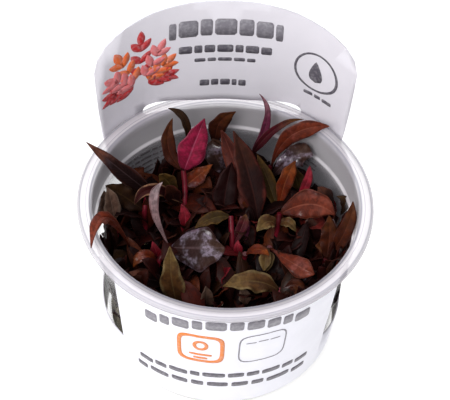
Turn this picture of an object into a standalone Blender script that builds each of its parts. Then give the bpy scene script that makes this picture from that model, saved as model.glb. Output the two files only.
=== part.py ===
"""Alternanthera reineckii in its nursery cup.

A clear round cup with a flanged rim holds a disc of nutrient gel, a low mass of undergrowth
and nineteen taller shoots with their leaves.  A card sleeve wraps the cup.  Its front panel is
low, its sides are open, and its back rises above the rim as a tab.  The rim passes through a
slot in the tab.

Lengths in the tables are millimetres and angles are degrees.  X points right, Y points to the
tab, Z points up.  The origin is the middle of the cup's flat base.
"""
import math
from collections import namedtuple

import bmesh
import bpy
from mathutils import Matrix, Vector

MM = 0.001

CUP_HEIGHT = 65.0
RIM_RADIUS = 50.0
MOUTH_RADIUS = 44.9
BASE_RADIUS = 35.5
FLOOR = 0.9
WALL = 0.75
WALL_START = 6.0
LOWER_WALL_RADIUS = 38.75
UPPER_WALL_RADIUS = 43.5
LEDGE_HEIGHT = 53.8
LEDGE_WIDTH = 0.8
LIP_DEPTH = 1.8
CUP_STEPS = 60

GAP = 0.3
GEL_TOP = 9.5
ROOT_HEIGHT = GEL_TOP + GAP
UNDERGROWTH_TOP = 38.0

CARD_THICKNESS = 0.4
CARD_BOTTOM = 6.0
CARD_FOOT_RADIUS = 39.95
CARD_TAPER = 0.1105
CARD_SEGMENTS = 72
CARD_ROWS = (20.0, 38.0, 44.0, 50.0, 56.0, 62.0, 68.0, 80.0, 92.0, 104.0)
FRONT_TOP = 63.0
TAB_TOP = 108.0
TAB_LEAN = 0.125
TAB_FLARE = 4.3
FLARE_START = 38.0
FLARE_FULL = 62.0
SLOT_HALF_WIDTH = 27.7
SLOT_BOTTOM = 61.0
SLOT_TOP = 65.4
CUTTER_DEPTH = 80.0

STEM_RADIUS = 0.65
HOLE_CLEARANCE = 0.55
LEAF_THICKNESS = 0.45
LEAF_OFFSET = 1.5
LEAF_FOLD = 12.0
LEAF_ROWS = 6

LEAF_TONES = {
    "magenta": (0.21, 0.015, 0.04),
    "terracotta": (0.14, 0.035, 0.018),
    "brown": (0.058, 0.014, 0.008),
    "olive": (0.06, 0.034, 0.01),
}

# A leaf grows from a node of its stem, through the middle of its midrib to its tip.  Its blade
# is widest at the share peak of its length, and its upper side faces heading and rise.
Leaf = namedtuple("Leaf", "tone node middle tip width peak heading rise")

# One row for each shoot: its name, where it leaves the gel, its nodes, and its leaves.
SHOOTS = (
    ("magenta", (-12, 8), ((-13, 17, 44), (-13, 21.5, 48), (-13.5, 25, 52)), (
        Leaf("magenta", 2, (-10, 29, 61), (-6.5, 34, 69), 10.5, 0.36, -90, 40),
        Leaf("brown", 2, (-19, 29, 60), (-17.5, 34, 69), 5.5, 0.5, -60, 30),
        Leaf("terracotta", 1, (-8, 25, 49.5), (-3.5, 26, 54), 6, 0.35, -80, 50),
        Leaf("brown", 0, (-24.5, 15.5, 53), (-30.5, 11, 50), 4.5, 0.5, -90, 40))),
    ("back_left", (-8, 27), ((-12, 31.5, 58),), (
        Leaf("brown", 0, (-13.5, 34, 68), (-19, 35, 73), 3.5, 0.5, -50, 30),)),
    ("back", (0, 24), ((3.5, 29.5, 43), (-2, 36.5, 52)), (
        Leaf("brown", 1, (-1, 39, 61), (4.5, 38, 68), 7, 0.5, -80, 35),
        Leaf("brown", 0, (-2, 30, 53), (-3.5, 33.5, 58), 8, 0.6, -90, 50))),
    ("centre", (10, 3), ((11, 7, 39.5), (12.5, 9.5, 43)), (
        Leaf("brown", 1, (9, 19, 55), (3.5, 31, 66), 10.5, 0.5, -70, 42),
        Leaf("terracotta", 0, (5, 25.5, 52), (-0.5, 34, 63), 7, 0.5, -100, 40))),
    ("back_middle", (9, 26), ((10.5, 34, 51),), (
        Leaf("magenta", 0, (15.5, 37, 66), (12.5, 41, 74), 3, 0.3, -90, 20),
        Leaf("magenta", 0, (19, 33.5, 65), (28, 35.5, 67), 3, 0.3, -90, 45))),
    ("back_right", (14, 23), ((16.5, 27, 45), (17, 29, 50)), (
        Leaf("terracotta", 1, (25, 30.5, 63), (36.5, 30.5, 69), 9, 0.5, -65, 45),
        Leaf("brown", 0, (25, 29.5, 52), (30, 29.5, 53), 7, 0.6, -80, 60))),
    ("right", (17, 10), ((19.5, 14.5, 42.5),), (
        Leaf("terracotta", 0, (21.5, 19, 52), (25, 23.5, 59), 6, 0.6, -90, 40),
        Leaf("olive", 0, (16, 21.5, 49.5), (12, 27, 58), 5.5, 0.5, -60, 40),
        Leaf("magenta", 0, (28, 19, 48), (30, 22, 58), 3.5, 0.7, -90, 30))),
    ("right_front", (17, 2), ((19, 6.5, 45), (19.5, 8.5, 48.5)), (
        Leaf("terracotta", 1, (30, 8, 54), (38, 4, 53), 10.5, 0.5, -85, 55),
        Leaf("olive", 0, (15, 5, 48), (11.5, 2.5, 46), 5.5, 0.5, -90, 70),
        Leaf("olive", 0, (22.5, 5.5, 47), (25, 3, 45), 4, 0.5, -90, 70))),
    ("left", (-23, 12), ((-27, 14.5, 43), (-25.5, 20.5, 46.5)), (
        Leaf("terracotta", 1, (-37, 17.5, 63), (-47, 18.5, 74), 7, 0.45, -110, 40),
        Leaf("olive", 0, (-34.5, 15, 50), (-40.5, 14.5, 56), 8, 0.5, -70, 50))),
    ("far_left", (-33, 6), ((-37.5, 7.5, 45),), (
        Leaf("olive", 0, (-38.5, 10, 52), (-40, 12, 58), 6, 0.45, -80, 35),)),
    ("left_front", (-27, -6), ((-31.5, -4, 45.5),), (
        Leaf("terracotta", 0, (-40.5, -10.5, 69), (-45, -22, 67), 5, 0.6, -120, 45),)),
    ("left_middle", (-19, -10), ((-22.5, -8.5, 42.5), (-18.5, -4.5, 46)), (
        Leaf("terracotta", 0, (-27.5, -10, 48), (-31, -13, 45.5), 4.5, 0.5, -90, 55),
        Leaf("magenta", 1, (-24, 5.5, 56), (-21, 11, 62), 3.5, 0.6, -90, 40),
        Leaf("brown", 1, (-8, -9, 51), (0, -9, 51), 16, 0.5, -85, 60))),
    ("front_left", (-12, -21), ((-16, -26, 42),), (
        Leaf("olive", 0, (-18.5, -23, 54), (-19, -18, 63), 8, 0.35, -95, 30),)),
    ("front", (-4, -20), ((-6, -25.5, 40),), (
        Leaf("olive", 0, (-6.5, -26.5, 46), (-7, -27, 53), 5, 0.45, -90, 40),)),
    ("middle", (3, -5), ((3, -1, 42.5), (2.5, 6.5, 49.5)), (
        Leaf("olive", 1, (-4, 4, 51), (-10, 0.5, 50), 5, 0.5, -90, 65),
        Leaf("magenta", 0, (6.5, 3.5, 48), (7.5, 6, 51), 4, 0.5, -90, 50))),
    ("middle_front", (6, -6), ((7, -9, 48),), (
        Leaf("terracotta", 0, (11.5, -9.5, 51), (15, -11, 49.5), 3.5, 0.5, -90, 65),)),
    ("right_middle", (14, -2), ((15.5, -5, 46.5),), (
        Leaf("terracotta", 0, (22.5, -14, 49.5), (30, -19.5, 50), 7.5, 0.7, -70, 60),
        Leaf("olive", 0, (14, -9, 46), (13.5, -13, 43.5), 4.5, 0.6, -90, 50))),
    ("front_right", (14, -18), ((18.5, -21.5, 44),), (
        Leaf("olive", 0, (9, -22.5, 50), (-1, -24, 49), 8, 0.5, -90, 65),
        Leaf("brown", 0, (24, -20.5, 45.5), (24, -24.5, 42.5), 5, 0.6, -90, 40))),
    ("far_right", (31, -7), ((35, -7.5, 43),), (
        Leaf("brown", 0, (41, -5, 56), (43, 0, 65), 4, 0.5, -110, 35),
        Leaf("brown", 0, (36, -2.5, 50), (35.5, 0.5, 57), 6.5, 0.45, -90, 35))),
)


def clear_scene():
    for item in list(bpy.data.objects):
        bpy.data.objects.remove(item, do_unlink=True)


def new_collection(name):
    collection = bpy.data.collections.new(name)
    bpy.context.scene.collection.children.link(collection)
    return collection


def principled(name, colour, roughness, transmission=0.0):
    material = bpy.data.materials.new(name)
    material.use_nodes = True
    shader = material.node_tree.nodes["Principled BSDF"]
    shader.inputs["Base Color"].default_value = (*colour, 1.0)
    shader.inputs["Roughness"].default_value = roughness
    shader.inputs["Transmission Weight"].default_value = transmission
    return material


def object_from_bmesh(name, shape, collection):
    mesh = bpy.data.meshes.new(name)
    shape.to_mesh(mesh)
    shape.free()
    item = bpy.data.objects.new(name, mesh)
    collection.objects.link(item)
    return item


def mark_cutter(item):
    item.hide_render = True
    item.display_type = "WIRE"


def cut(item, cutter, operation="DIFFERENCE"):
    boolean = item.modifiers.new(cutter.name, "BOOLEAN")
    boolean.operation = operation
    boolean.object = cutter
    boolean.solver = "EXACT"


def turned(name, profile, steps, collection):
    """A solid of revolution from a profile that starts and ends on the axis."""
    shape = bmesh.new()
    points = [shape.verts.new((radius * MM, 0.0, height * MM)) for radius, height in profile]
    for start, end in zip(points, points[1:]):
        shape.edges.new((start, end))
    item = object_from_bmesh(name, shape, collection)
    screw = item.modifiers.new("Turn", "SCREW")
    screw.angle = math.tau
    screw.steps = steps
    screw.render_steps = steps
    screw.use_merge_vertices = True
    screw.merge_threshold = 0.00001
    screw.use_smooth_shade = True
    return item


def cup_profile():
    """The cup's section: up the inside from the floor, over the rim and down the outside."""
    ledge_top = LEDGE_HEIGHT + 0.4
    neck_radius = UPPER_WALL_RADIUS + LEDGE_WIDTH
    underside = CUP_HEIGHT - 1.1
    inside = [
        (0.0, FLOOR),
        (BASE_RADIUS - 1.0, FLOOR),
        (37.3, 2.2),
        (LOWER_WALL_RADIUS, WALL_START),
        (UPPER_WALL_RADIUS, LEDGE_HEIGHT),
        (neck_radius, ledge_top),
        (MOUTH_RADIUS, CUP_HEIGHT - 1.0),
        (MOUTH_RADIUS + 0.5, CUP_HEIGHT),
    ]
    rim = [
        (RIM_RADIUS - 0.6, CUP_HEIGHT),
        (RIM_RADIUS, CUP_HEIGHT - 0.5),
        (RIM_RADIUS, CUP_HEIGHT - LIP_DEPTH),
        (RIM_RADIUS - 0.7, CUP_HEIGHT - LIP_DEPTH),
        (RIM_RADIUS - 0.8, underside),
        (MOUTH_RADIUS + WALL + 0.4, underside),
    ]
    outside = [
        (MOUTH_RADIUS + WALL, underside - 0.5),
        (neck_radius + WALL, ledge_top - 0.2),
        (UPPER_WALL_RADIUS + WALL, LEDGE_HEIGHT - 0.4),
        (LOWER_WALL_RADIUS + WALL, WALL_START),
        (38.2, 1.9),
        (BASE_RADIUS, 0.0),
        (0.0, 0.0),
    ]
    return inside + rim + outside


def build_cup(collection):
    cup = turned("cup", cup_profile(), CUP_STEPS, collection)
    cup.data.materials.append(principled("clear plastic", (0.93, 0.93, 0.95), 0.12, 0.9))


def build_gel(collection):
    """A disc of nutrient gel that fills the foot of the cup."""
    profile = (
        (0.0, GEL_TOP),
        (LOWER_WALL_RADIUS - 0.1, GEL_TOP),
        (LOWER_WALL_RADIUS - 0.4, WALL_START + 0.2),
        (36.9, 2.6),
        (BASE_RADIUS - 1.3, FLOOR + GAP),
        (0.0, FLOOR + GAP),
    )
    gel = turned("nutrient_gel", profile, 36, collection)
    gel.data.materials.append(principled("nutrient gel", (0.62, 0.56, 0.42), 0.15, 0.6))


def stem_hole(root, node, collection):
    """A cutter along a stem's lowest stretch, wider than the stem and past both its ends."""
    start = Vector((*root, ROOT_HEIGHT)) * MM
    end = Vector(node) * MM
    along = end - start
    radius = (STEM_RADIUS + HOLE_CLEARANCE) * MM
    shape = bmesh.new()
    bmesh.ops.create_cone(
        shape, cap_ends=True, segments=8, depth=along.length * 1.4,
        radius1=radius, radius2=radius)
    turn = Vector((0, 0, 1)).rotation_difference(along).to_matrix().to_4x4()
    middle = Matrix.Translation((start + end) / 2)
    bmesh.ops.transform(shape, matrix=middle @ turn, verts=shape.verts)
    mark_cutter(object_from_bmesh("stem hole", shape, collection))


def build_undergrowth(collection):
    """The dense low growth as one domed solid, with a hole for each taller stem."""
    profile = (
        (0.0, UNDERGROWTH_TOP),
        (18.0, UNDERGROWTH_TOP + 0.3),
        (29.0, UNDERGROWTH_TOP + 2.0),
        (36.0, UNDERGROWTH_TOP + 3.0),
        (39.3, UNDERGROWTH_TOP + 1.8),
        (40.2, UNDERGROWTH_TOP - 2.0),
        (38.3, ROOT_HEIGHT),
        (0.0, ROOT_HEIGHT),
    )
    growth = turned("undergrowth", profile, 30, collection)
    growth.data.materials.append(principled("dark foliage", (0.03, 0.008, 0.006), 0.5))
    holes = new_collection("stem holes")
    for _name, root, nodes, _leaves in SHOOTS:
        stem_hole(root, nodes[0], holes)
    boolean = growth.modifiers.new("Stem holes", "BOOLEAN")
    boolean.operation = "DIFFERENCE"
    boolean.operand_type = "COLLECTION"
    boolean.collection = holes
    boolean.solver = "EXACT"


def smooth_step(low, high, value):
    """0 below low, 1 above high, and a smooth rise between them."""
    share = min(max((value - low) / (high - low), 0.0), 1.0)
    return share * share * (3.0 - 2.0 * share)


def card_radius(angle, height):
    """Inner radius of the card at an angle from the back, in degrees, and a height.

    The card follows the cup's cone.  Beside the slot it spreads past the rim, and above the
    rim the tab leans back and its sides flatten.
    """
    cone = CARD_FOOT_RADIUS + CARD_TAPER * (min(height, FLARE_FULL) - CARD_BOTTOM)
    lean = TAB_LEAN * max(height - FLARE_FULL, 0.0)
    at_slot = smooth_step(8.0, 32.5, angle)
    at_top = smooth_step(0.0, 50.0, angle)
    top_share = smooth_step(66.0, 95.0, height)
    spread = at_slot * (1.0 - top_share) + at_top * top_share
    spread *= 1.0 - smooth_step(62.0, 100.0, angle)
    return cone + lean + TAB_FLARE * spread * smooth_step(FLARE_START, FLARE_FULL, height)


def outline_cutter(name, points, turn, place, depth, collection):
    """A cutter from a flat closed outline, with a depth each way, turned into place."""
    curve = bpy.data.curves.new(name, "CURVE")
    curve.dimensions = "2D"
    curve.fill_mode = "BOTH"
    curve.extrude = depth * MM
    spline = curve.splines.new("POLY")
    spline.points.add(len(points) - 1)
    for knot, (x, y) in zip(spline.points, points):
        knot.co = (x * MM, y * MM, 0.0, 1.0)
    spline.use_cyclic_u = True
    outline = bpy.data.objects.new(name + " outline", curve)
    collection.objects.link(outline)
    outline.matrix_world = Matrix.Translation(Vector(place) * MM) @ turn
    bpy.context.view_layer.update()
    evaluated = outline.evaluated_get(bpy.context.evaluated_depsgraph_get())
    mesh = bpy.data.meshes.new_from_object(evaluated)
    solid = bpy.data.objects.new(name, mesh)
    solid.matrix_world = outline.matrix_world.copy()
    bpy.data.objects.remove(outline, do_unlink=True)
    shape = bmesh.new()
    shape.from_mesh(mesh)
    bmesh.ops.remove_doubles(shape, verts=shape.verts, dist=0.000002)
    bmesh.ops.recalc_face_normals(shape, faces=shape.faces)
    shape.to_mesh(mesh)
    shape.free()
    collection.objects.link(solid)
    mark_cutter(solid)
    return solid


def tab_outline():
    """The card seen from the front: full width up to the rim, then the tab's rounded top."""
    right = [
        (41.4, 62.0), (42.8, 76.0), (43.8, 87.0), (44.3, 93.5), (43.3, 97.6), (40.4, 100.3),
        (34.0, 103.0), (24.0, 105.8), (12.0, 107.5), (0.0, TAB_TOP),
    ]
    left = [(-x, z) for x, z in reversed(right[:-1])]
    return [(60.0, 0.0), (60.0, 62.0)] + right + left + [(-60.0, 62.0), (-60.0, 0.0)]


def slot_outline():
    """The rim's slot, with half-round ends."""
    half_height = (SLOT_TOP - SLOT_BOTTOM) / 2
    centre = (SLOT_TOP + SLOT_BOTTOM) / 2
    reach = SLOT_HALF_WIDTH - half_height
    points = []
    for side in (1, -1):
        for step in range(9):
            angle = math.pi * (step / 8 - 0.5)
            x = side * (reach + half_height * math.cos(angle))
            z = centre + side * half_height * math.sin(angle)
            points.append((x, z))
    return points


def window_outline(side):
    """An open side seen from the right: a sunken sill between the front and back edges.

    The right side, 1, is narrower below the rim than the left one, -1: there the back panel
    reaches further round.
    """
    if side > 0:
        sill = [(-24.6, 22.6), (-14.0, 19.4), (-5.0, 18.6), (4.0, 20.0)]
        back_edge = [
            (10.0, 25.0), (12.5, 33.0), (13.0, 50.0), (17.0, 55.0), (24.0, 58.5), (29.6, 61.0)]
    else:
        sill = [(-24.6, 22.6), (-14.0, 19.4), (-2.0, 18.0), (12.0, 19.4), (22.0, 23.5)]
        back_edge = [(26.0, 30.0), (28.2, 40.0), (29.2, 52.0)]
    upper_edge = [(29.8, 64.0), (30.2, 130.0)]
    front_edge = [(-27.2, 130.0), (-26.7, 64.0)]
    return sill + back_edge + upper_edge + front_edge


def build_sleeve(collection, cutters):
    """The card: a cone cut to its front panel, side windows, back tab and rim slot."""
    height = TAB_TOP + 3.0 - CARD_BOTTOM
    shape = bmesh.new()
    bmesh.ops.create_cone(
        shape, cap_ends=False, segments=CARD_SEGMENTS, depth=height * MM,
        radius1=CARD_FOOT_RADIUS * MM, radius2=CARD_FOOT_RADIUS * MM)
    lift = Matrix.Translation((0, 0, (CARD_BOTTOM + height / 2) * MM))
    half_segment = Matrix.Rotation(math.pi / CARD_SEGMENTS, 4, "Z")
    bmesh.ops.transform(shape, matrix=lift @ half_segment, verts=shape.verts)
    for row in CARD_ROWS:
        bmesh.ops.bisect_plane(
            shape, geom=shape.verts[:] + shape.edges[:] + shape.faces[:],
            plane_co=(0, 0, row * MM), plane_no=(0, 0, 1))
    for point in shape.verts:
        x, y, z = point.co / MM
        angle = math.degrees(math.atan2(abs(x), y))
        spread = card_radius(angle, z) / math.hypot(x, y)
        point.co.x *= spread
        point.co.y *= spread
    bmesh.ops.recalc_face_normals(shape, faces=shape.faces)
    sleeve = object_from_bmesh("card_sleeve", shape, collection)
    sleeve.data.materials.append(principled("white card", (0.86, 0.85, 0.88), 0.55))
    solidify = sleeve.modifiers.new("Card", "SOLIDIFY")
    solidify.thickness = CARD_THICKNESS * MM
    solidify.offset = 1.0
    solidify.use_even_offset = True

    facing = Matrix.Rotation(math.pi / 2, 4, "X")
    sideways = Matrix.Rotation(math.pi / 2, 4, "Z") @ facing
    above_front = [(-60.0, FRONT_TOP), (60.0, FRONT_TOP), (60.0, 130.0), (-60.0, 130.0)]
    tab = outline_cutter("tab", tab_outline(), facing, (0, 0, 0), CUTTER_DEPTH, cutters)
    windows = [
        outline_cutter(
            name, window_outline(side), sideways, (side * 45, 0, 0), CUTTER_DEPTH / 2, cutters)
        for name, side in (("right window", 1), ("left window", -1))]
    front = outline_cutter("front top", above_front, facing, (0, -50, 0), 30.0, cutters)
    slot = outline_cutter("rim slot", slot_outline(), facing, (0, 50, 0), 20.0, cutters)
    cut(sleeve, tab, "INTERSECT")
    for window in windows:
        cut(sleeve, window)
    cut(sleeve, front)
    cut(sleeve, slot)


def leaf_half_width(share, leaf):
    """Half the blade's width at a share of its length."""
    warped = share ** (math.log(0.5) / math.log(leaf.peak))
    blade = math.sin(math.pi * warped) ** 0.9 if 0.0 < share < 1.0 else 0.0
    return (0.08 * (1.0 - share) + 0.89 * blade + 0.03) * leaf.width / 2


def leaf_frames(leaf, node):
    """Points, sideways directions and upper normals at even steps along a leaf."""
    middle = Vector(leaf.middle)
    tip = Vector(leaf.tip)
    outward = Vector((middle.x - node[0], middle.y - node[1], 0.0)).normalized()
    base = Vector(node) + LEAF_OFFSET * outward
    heading = math.radians(leaf.heading)
    rise = math.radians(leaf.rise)
    facing = Vector((
        math.cos(rise) * math.cos(heading),
        math.cos(rise) * math.sin(heading),
        math.sin(rise)))
    frames = []
    for step in range(LEAF_ROWS + 1):
        share = step / LEAF_ROWS
        place = base * (2 * share - 1) * (share - 1)
        place += middle * 4 * share * (1 - share)
        place += tip * share * (2 * share - 1)
        along = base * (4 * share - 3) + middle * (4 - 8 * share) + tip * (4 * share - 1)
        side = along.cross(facing).normalized()
        frames.append((place, side, side.cross(along).normalized()))
    return frames


def build_leaf(name, leaf, node, collection, material):
    """A folded blade: a grid bent along the leaf's middle line and given a thickness."""
    frames = leaf_frames(leaf, node)
    fold = math.tan(math.radians(LEAF_FOLD))
    shape = bmesh.new()
    bmesh.ops.create_grid(shape, x_segments=LEAF_ROWS, y_segments=2, size=0.5)
    for point in shape.verts:
        share = point.co.x + 0.5
        place, side, upper = frames[round(share * LEAF_ROWS)]
        reach = 2 * point.co.y * leaf_half_width(share, leaf)
        point.co = (place + side * reach + upper * abs(reach) * fold) * MM
    bmesh.ops.recalc_face_normals(shape, faces=shape.faces)
    item = object_from_bmesh(name, shape, collection)
    item.data.materials.append(material)
    item.data.shade_smooth()
    solidify = item.modifiers.new("Blade", "SOLIDIFY")
    solidify.thickness = LEAF_THICKNESS * MM
    solidify.offset = 0.0


def build_stem(name, root, nodes, collection, material):
    """A round stem from the gel through its nodes."""
    curve = bpy.data.curves.new(name, "CURVE")
    curve.dimensions = "3D"
    curve.bevel_depth = STEM_RADIUS * MM
    curve.bevel_resolution = 1
    curve.use_fill_caps = True
    curve.materials.append(material)
    path = [(*root, ROOT_HEIGHT)] + list(nodes)
    spline = curve.splines.new("POLY")
    spline.points.add(len(path) - 1)
    for knot, place in zip(spline.points, path):
        knot.co = (*(Vector(place) * MM), 1.0)
    collection.objects.link(bpy.data.objects.new(name, curve))


def build_shoots(collection):
    stem_material = principled("crimson stem", (0.12, 0.01, 0.016), 0.4)
    blades = {tone: principled(f"{tone} leaf", LEAF_TONES[tone], 0.3) for tone in LEAF_TONES}
    for name, root, nodes, leaves in SHOOTS:
        build_stem(f"stem_{name}", root, nodes, collection, stem_material)
        for number, leaf in enumerate(leaves, start=1):
            node = nodes[leaf.node]
            build_leaf(f"leaf_{name}_{number}", leaf, node, collection, blades[leaf.tone])


def main():
    clear_scene()
    parts = new_collection("alternanthera cup")
    cutters = new_collection("cutters")
    build_cup(parts)
    build_sleeve(parts, cutters)
    build_gel(parts)
    build_undergrowth(parts)
    build_shoots(parts)


main()
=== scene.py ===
"""Looks for alternanthera reineckii in its nursery cup.

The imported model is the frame.  Lengths in the tables are millimetres and angles are degrees.
X points right, Y points to the card's tab, Z points up, as in the frame.
"""
import math
import random
from collections import namedtuple

import bmesh
import bpy
from mathutils import Matrix, Vector
from mathutils.bvhtree import BVHTree


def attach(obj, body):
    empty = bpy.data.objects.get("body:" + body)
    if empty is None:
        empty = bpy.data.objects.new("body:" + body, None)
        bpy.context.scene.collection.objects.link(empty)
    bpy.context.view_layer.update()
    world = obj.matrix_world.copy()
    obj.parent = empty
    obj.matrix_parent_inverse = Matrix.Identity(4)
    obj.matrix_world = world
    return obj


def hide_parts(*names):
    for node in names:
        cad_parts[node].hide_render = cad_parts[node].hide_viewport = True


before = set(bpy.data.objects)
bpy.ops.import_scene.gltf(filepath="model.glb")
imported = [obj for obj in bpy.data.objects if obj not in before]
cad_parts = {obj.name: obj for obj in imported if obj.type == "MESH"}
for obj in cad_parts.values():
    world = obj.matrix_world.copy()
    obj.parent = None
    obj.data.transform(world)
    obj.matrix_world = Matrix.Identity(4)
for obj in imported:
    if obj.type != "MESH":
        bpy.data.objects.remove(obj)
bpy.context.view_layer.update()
CARD_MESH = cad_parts["card_sleeve"].data
CARD_TREE = BVHTree.FromPolygons(
    [point.co for point in CARD_MESH.vertices], [face.vertices for face in CARD_MESH.polygons])

bl_info = {
    "name": "Alternanthera nursery cup",
    "version": (1, 0, 0),
    "blender": (4, 5, 0),
    "location": "3D View > Sidebar > Plant cup",
    "description": "Builds the looks of red-leaved aquarium plants in their nursery cup",
    "category": "Object",
}

MM = 0.001
BODY = "root"

# The cup's section in millimetres, radius and height: up the inside, over the rim, down the
# outside.  It is the frame's own section with its rim rounded.
CUP_SECTION = (
    (0.0, 0.9), (34.5, 0.9), (36.4, 1.4), (37.4, 2.4), (38.75, 6.0), (43.5, 53.8), (43.75, 54.1),
    (44.3, 54.2), (44.9, 64.0), (45.05, 64.6), (45.4, 65.0), (47.5, 64.95), (49.3, 65.0),
    (49.8, 64.8), (50.0, 64.4), (50.0, 63.2), (49.3, 63.2), (49.2, 63.9), (46.05, 63.9),
    (45.65, 63.4), (45.05, 54.0), (44.25, 53.4), (39.5, 6.0), (38.2, 1.9), (37.2, 0.7),
    (35.5, 0.0), (0.0, 0.0),
)
CARD_RADIUS = 45.0
INK_LIFT = 0.05
SPRAY_FOOT = Vector((-28.5, 74.5))

WALL_FOOT = 38.75
WALL_TAPER = 0.0994
CUP_TOP = 65.0
RIM_RADIUS = 50.0
GEL_LINE = 9.8

# How light and how opaque the plastic looks at heights up the cup. The light bands at the step
# and at the flange are painted highlights, and the dark low wall is painted shade.
PLASTIC_SHADE_AND_HIGHLIGHT_BANDS = (
    (0.0, 0.05, 0.14), (42.0, 0.03, 0.16), (46.0, 0.05, 0.3), (51.0, 0.1, 0.36), (53.3, 0.4, 0.5),
    (53.8, 0.95, 0.65), (54.1, 0.95, 0.65), (54.7, 0.34, 0.88), (62.0, 0.38, 0.85),
    (63.2, 0.5, 0.6), (63.9, 0.94, 0.45),
)
# Painted shade: the fine dark lines on the rim, where its inner and outer edges and the card's
# edge below it show; their radii and how strong they are.
RIM_SHADE_TINT = (0.19, 0.19, 0.25, 1.0)
RIM_SHADE_LINES = (
    (45.0, 0.3), (45.4, 0.9), (45.8, 0.0), (46.6, 0.0), (46.9, 0.6), (47.2, 0.0), (49.3, 0.0),
    (49.6, 0.8), (49.9, 0.3),
)

# Body, tip, edge and midrib colours of a leaf as 8-bit screen values, and how wet it is.
# The midrib colour also paints a thin highlight along the blade's margins.
Look = namedtuple("Look", "body tip edge rib wet")
LOOKS = {
    "magenta": Look((154, 28, 64), (138, 26, 58), (104, 12, 40), (180, 80, 108), 0.15),
    "crimson": Look((128, 18, 34), (156, 46, 60), (84, 10, 20), (158, 66, 76), 0.2),
    "mauve": Look((112, 42, 70), (150, 104, 114), (58, 14, 30), (138, 78, 94), 0.1),
    "terracotta": Look((102, 38, 20), (124, 54, 36), (62, 22, 12), (136, 72, 54), 0.3),
    "orange": Look((106, 36, 12), (136, 68, 28), (66, 22, 8), (140, 76, 44), 0.5),
    "pink_brown": Look((98, 42, 34), (72, 26, 18), (106, 50, 36), (120, 66, 56), 0.1),
    "burgundy": Look((34, 10, 8), (62, 30, 18), (88, 36, 28), (60, 26, 20), 0.15),
    # A dark leaf whose cream edge is a painted highlight.
    "cream_edge": Look((46, 10, 12), (58, 16, 14), (164, 122, 92), (72, 26, 26), 0.1),
    "red_brown": Look((72, 30, 14), (92, 50, 24), (44, 14, 10), (98, 50, 34), 0.25),
    "burgundy_olive": Look((72, 10, 24), (94, 60, 28), (48, 8, 14), (116, 70, 66), 0.2),
    "purple_grey": Look((34, 20, 20), (118, 72, 56), (78, 38, 28), (84, 66, 68), 0.3),
    "wet_brown": Look((44, 28, 24), (68, 42, 30), (52, 28, 18), (78, 58, 52), 0.8),
    "glare": Look((52, 32, 30), (70, 46, 34), (50, 24, 16), (90, 70, 72), 1.0),
    "shade": Look((24, 4, 4), (34, 8, 6), (42, 12, 10), (48, 16, 14), 0.1),
    "dark_olive": Look((48, 28, 14), (60, 40, 20), (32, 16, 10), (72, 52, 30), 0.15),
    "olive": Look((60, 44, 16), (80, 56, 24), (96, 66, 30), (94, 78, 44), 0.1),
    "gold": Look((84, 54, 28), (108, 84, 46), (130, 110, 74), (106, 84, 52), 0.2),
    "tan": Look((96, 70, 58), (110, 86, 72), (122, 100, 86), (116, 94, 82), 0.12),
    "lilac": Look((144, 114, 116), (164, 144, 146), (96, 28, 32), (168, 148, 150), 0.05),
}
# The tones that a low leaf can have, from deep shade to lit.
LOW_TONES = (
    (0.0, (12, 2, 2)), (0.3, (28, 5, 4)), (0.5, (48, 10, 6)), (0.65, (38, 20, 6)),
    (0.8, (70, 18, 8)), (0.92, (88, 40, 18)), (1.0, (110, 14, 30)),
)

# A leaf grows from a node of its stem, through the middle of its midrib to its tip.  Its blade
# is widest at the share peak of its length, and its upper side faces heading and rise.  Fold
# bends it along the midrib and ripple waves its margins.
Leaf = namedtuple("Leaf", "look node middle tip width peak heading rise fold ripple")

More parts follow.
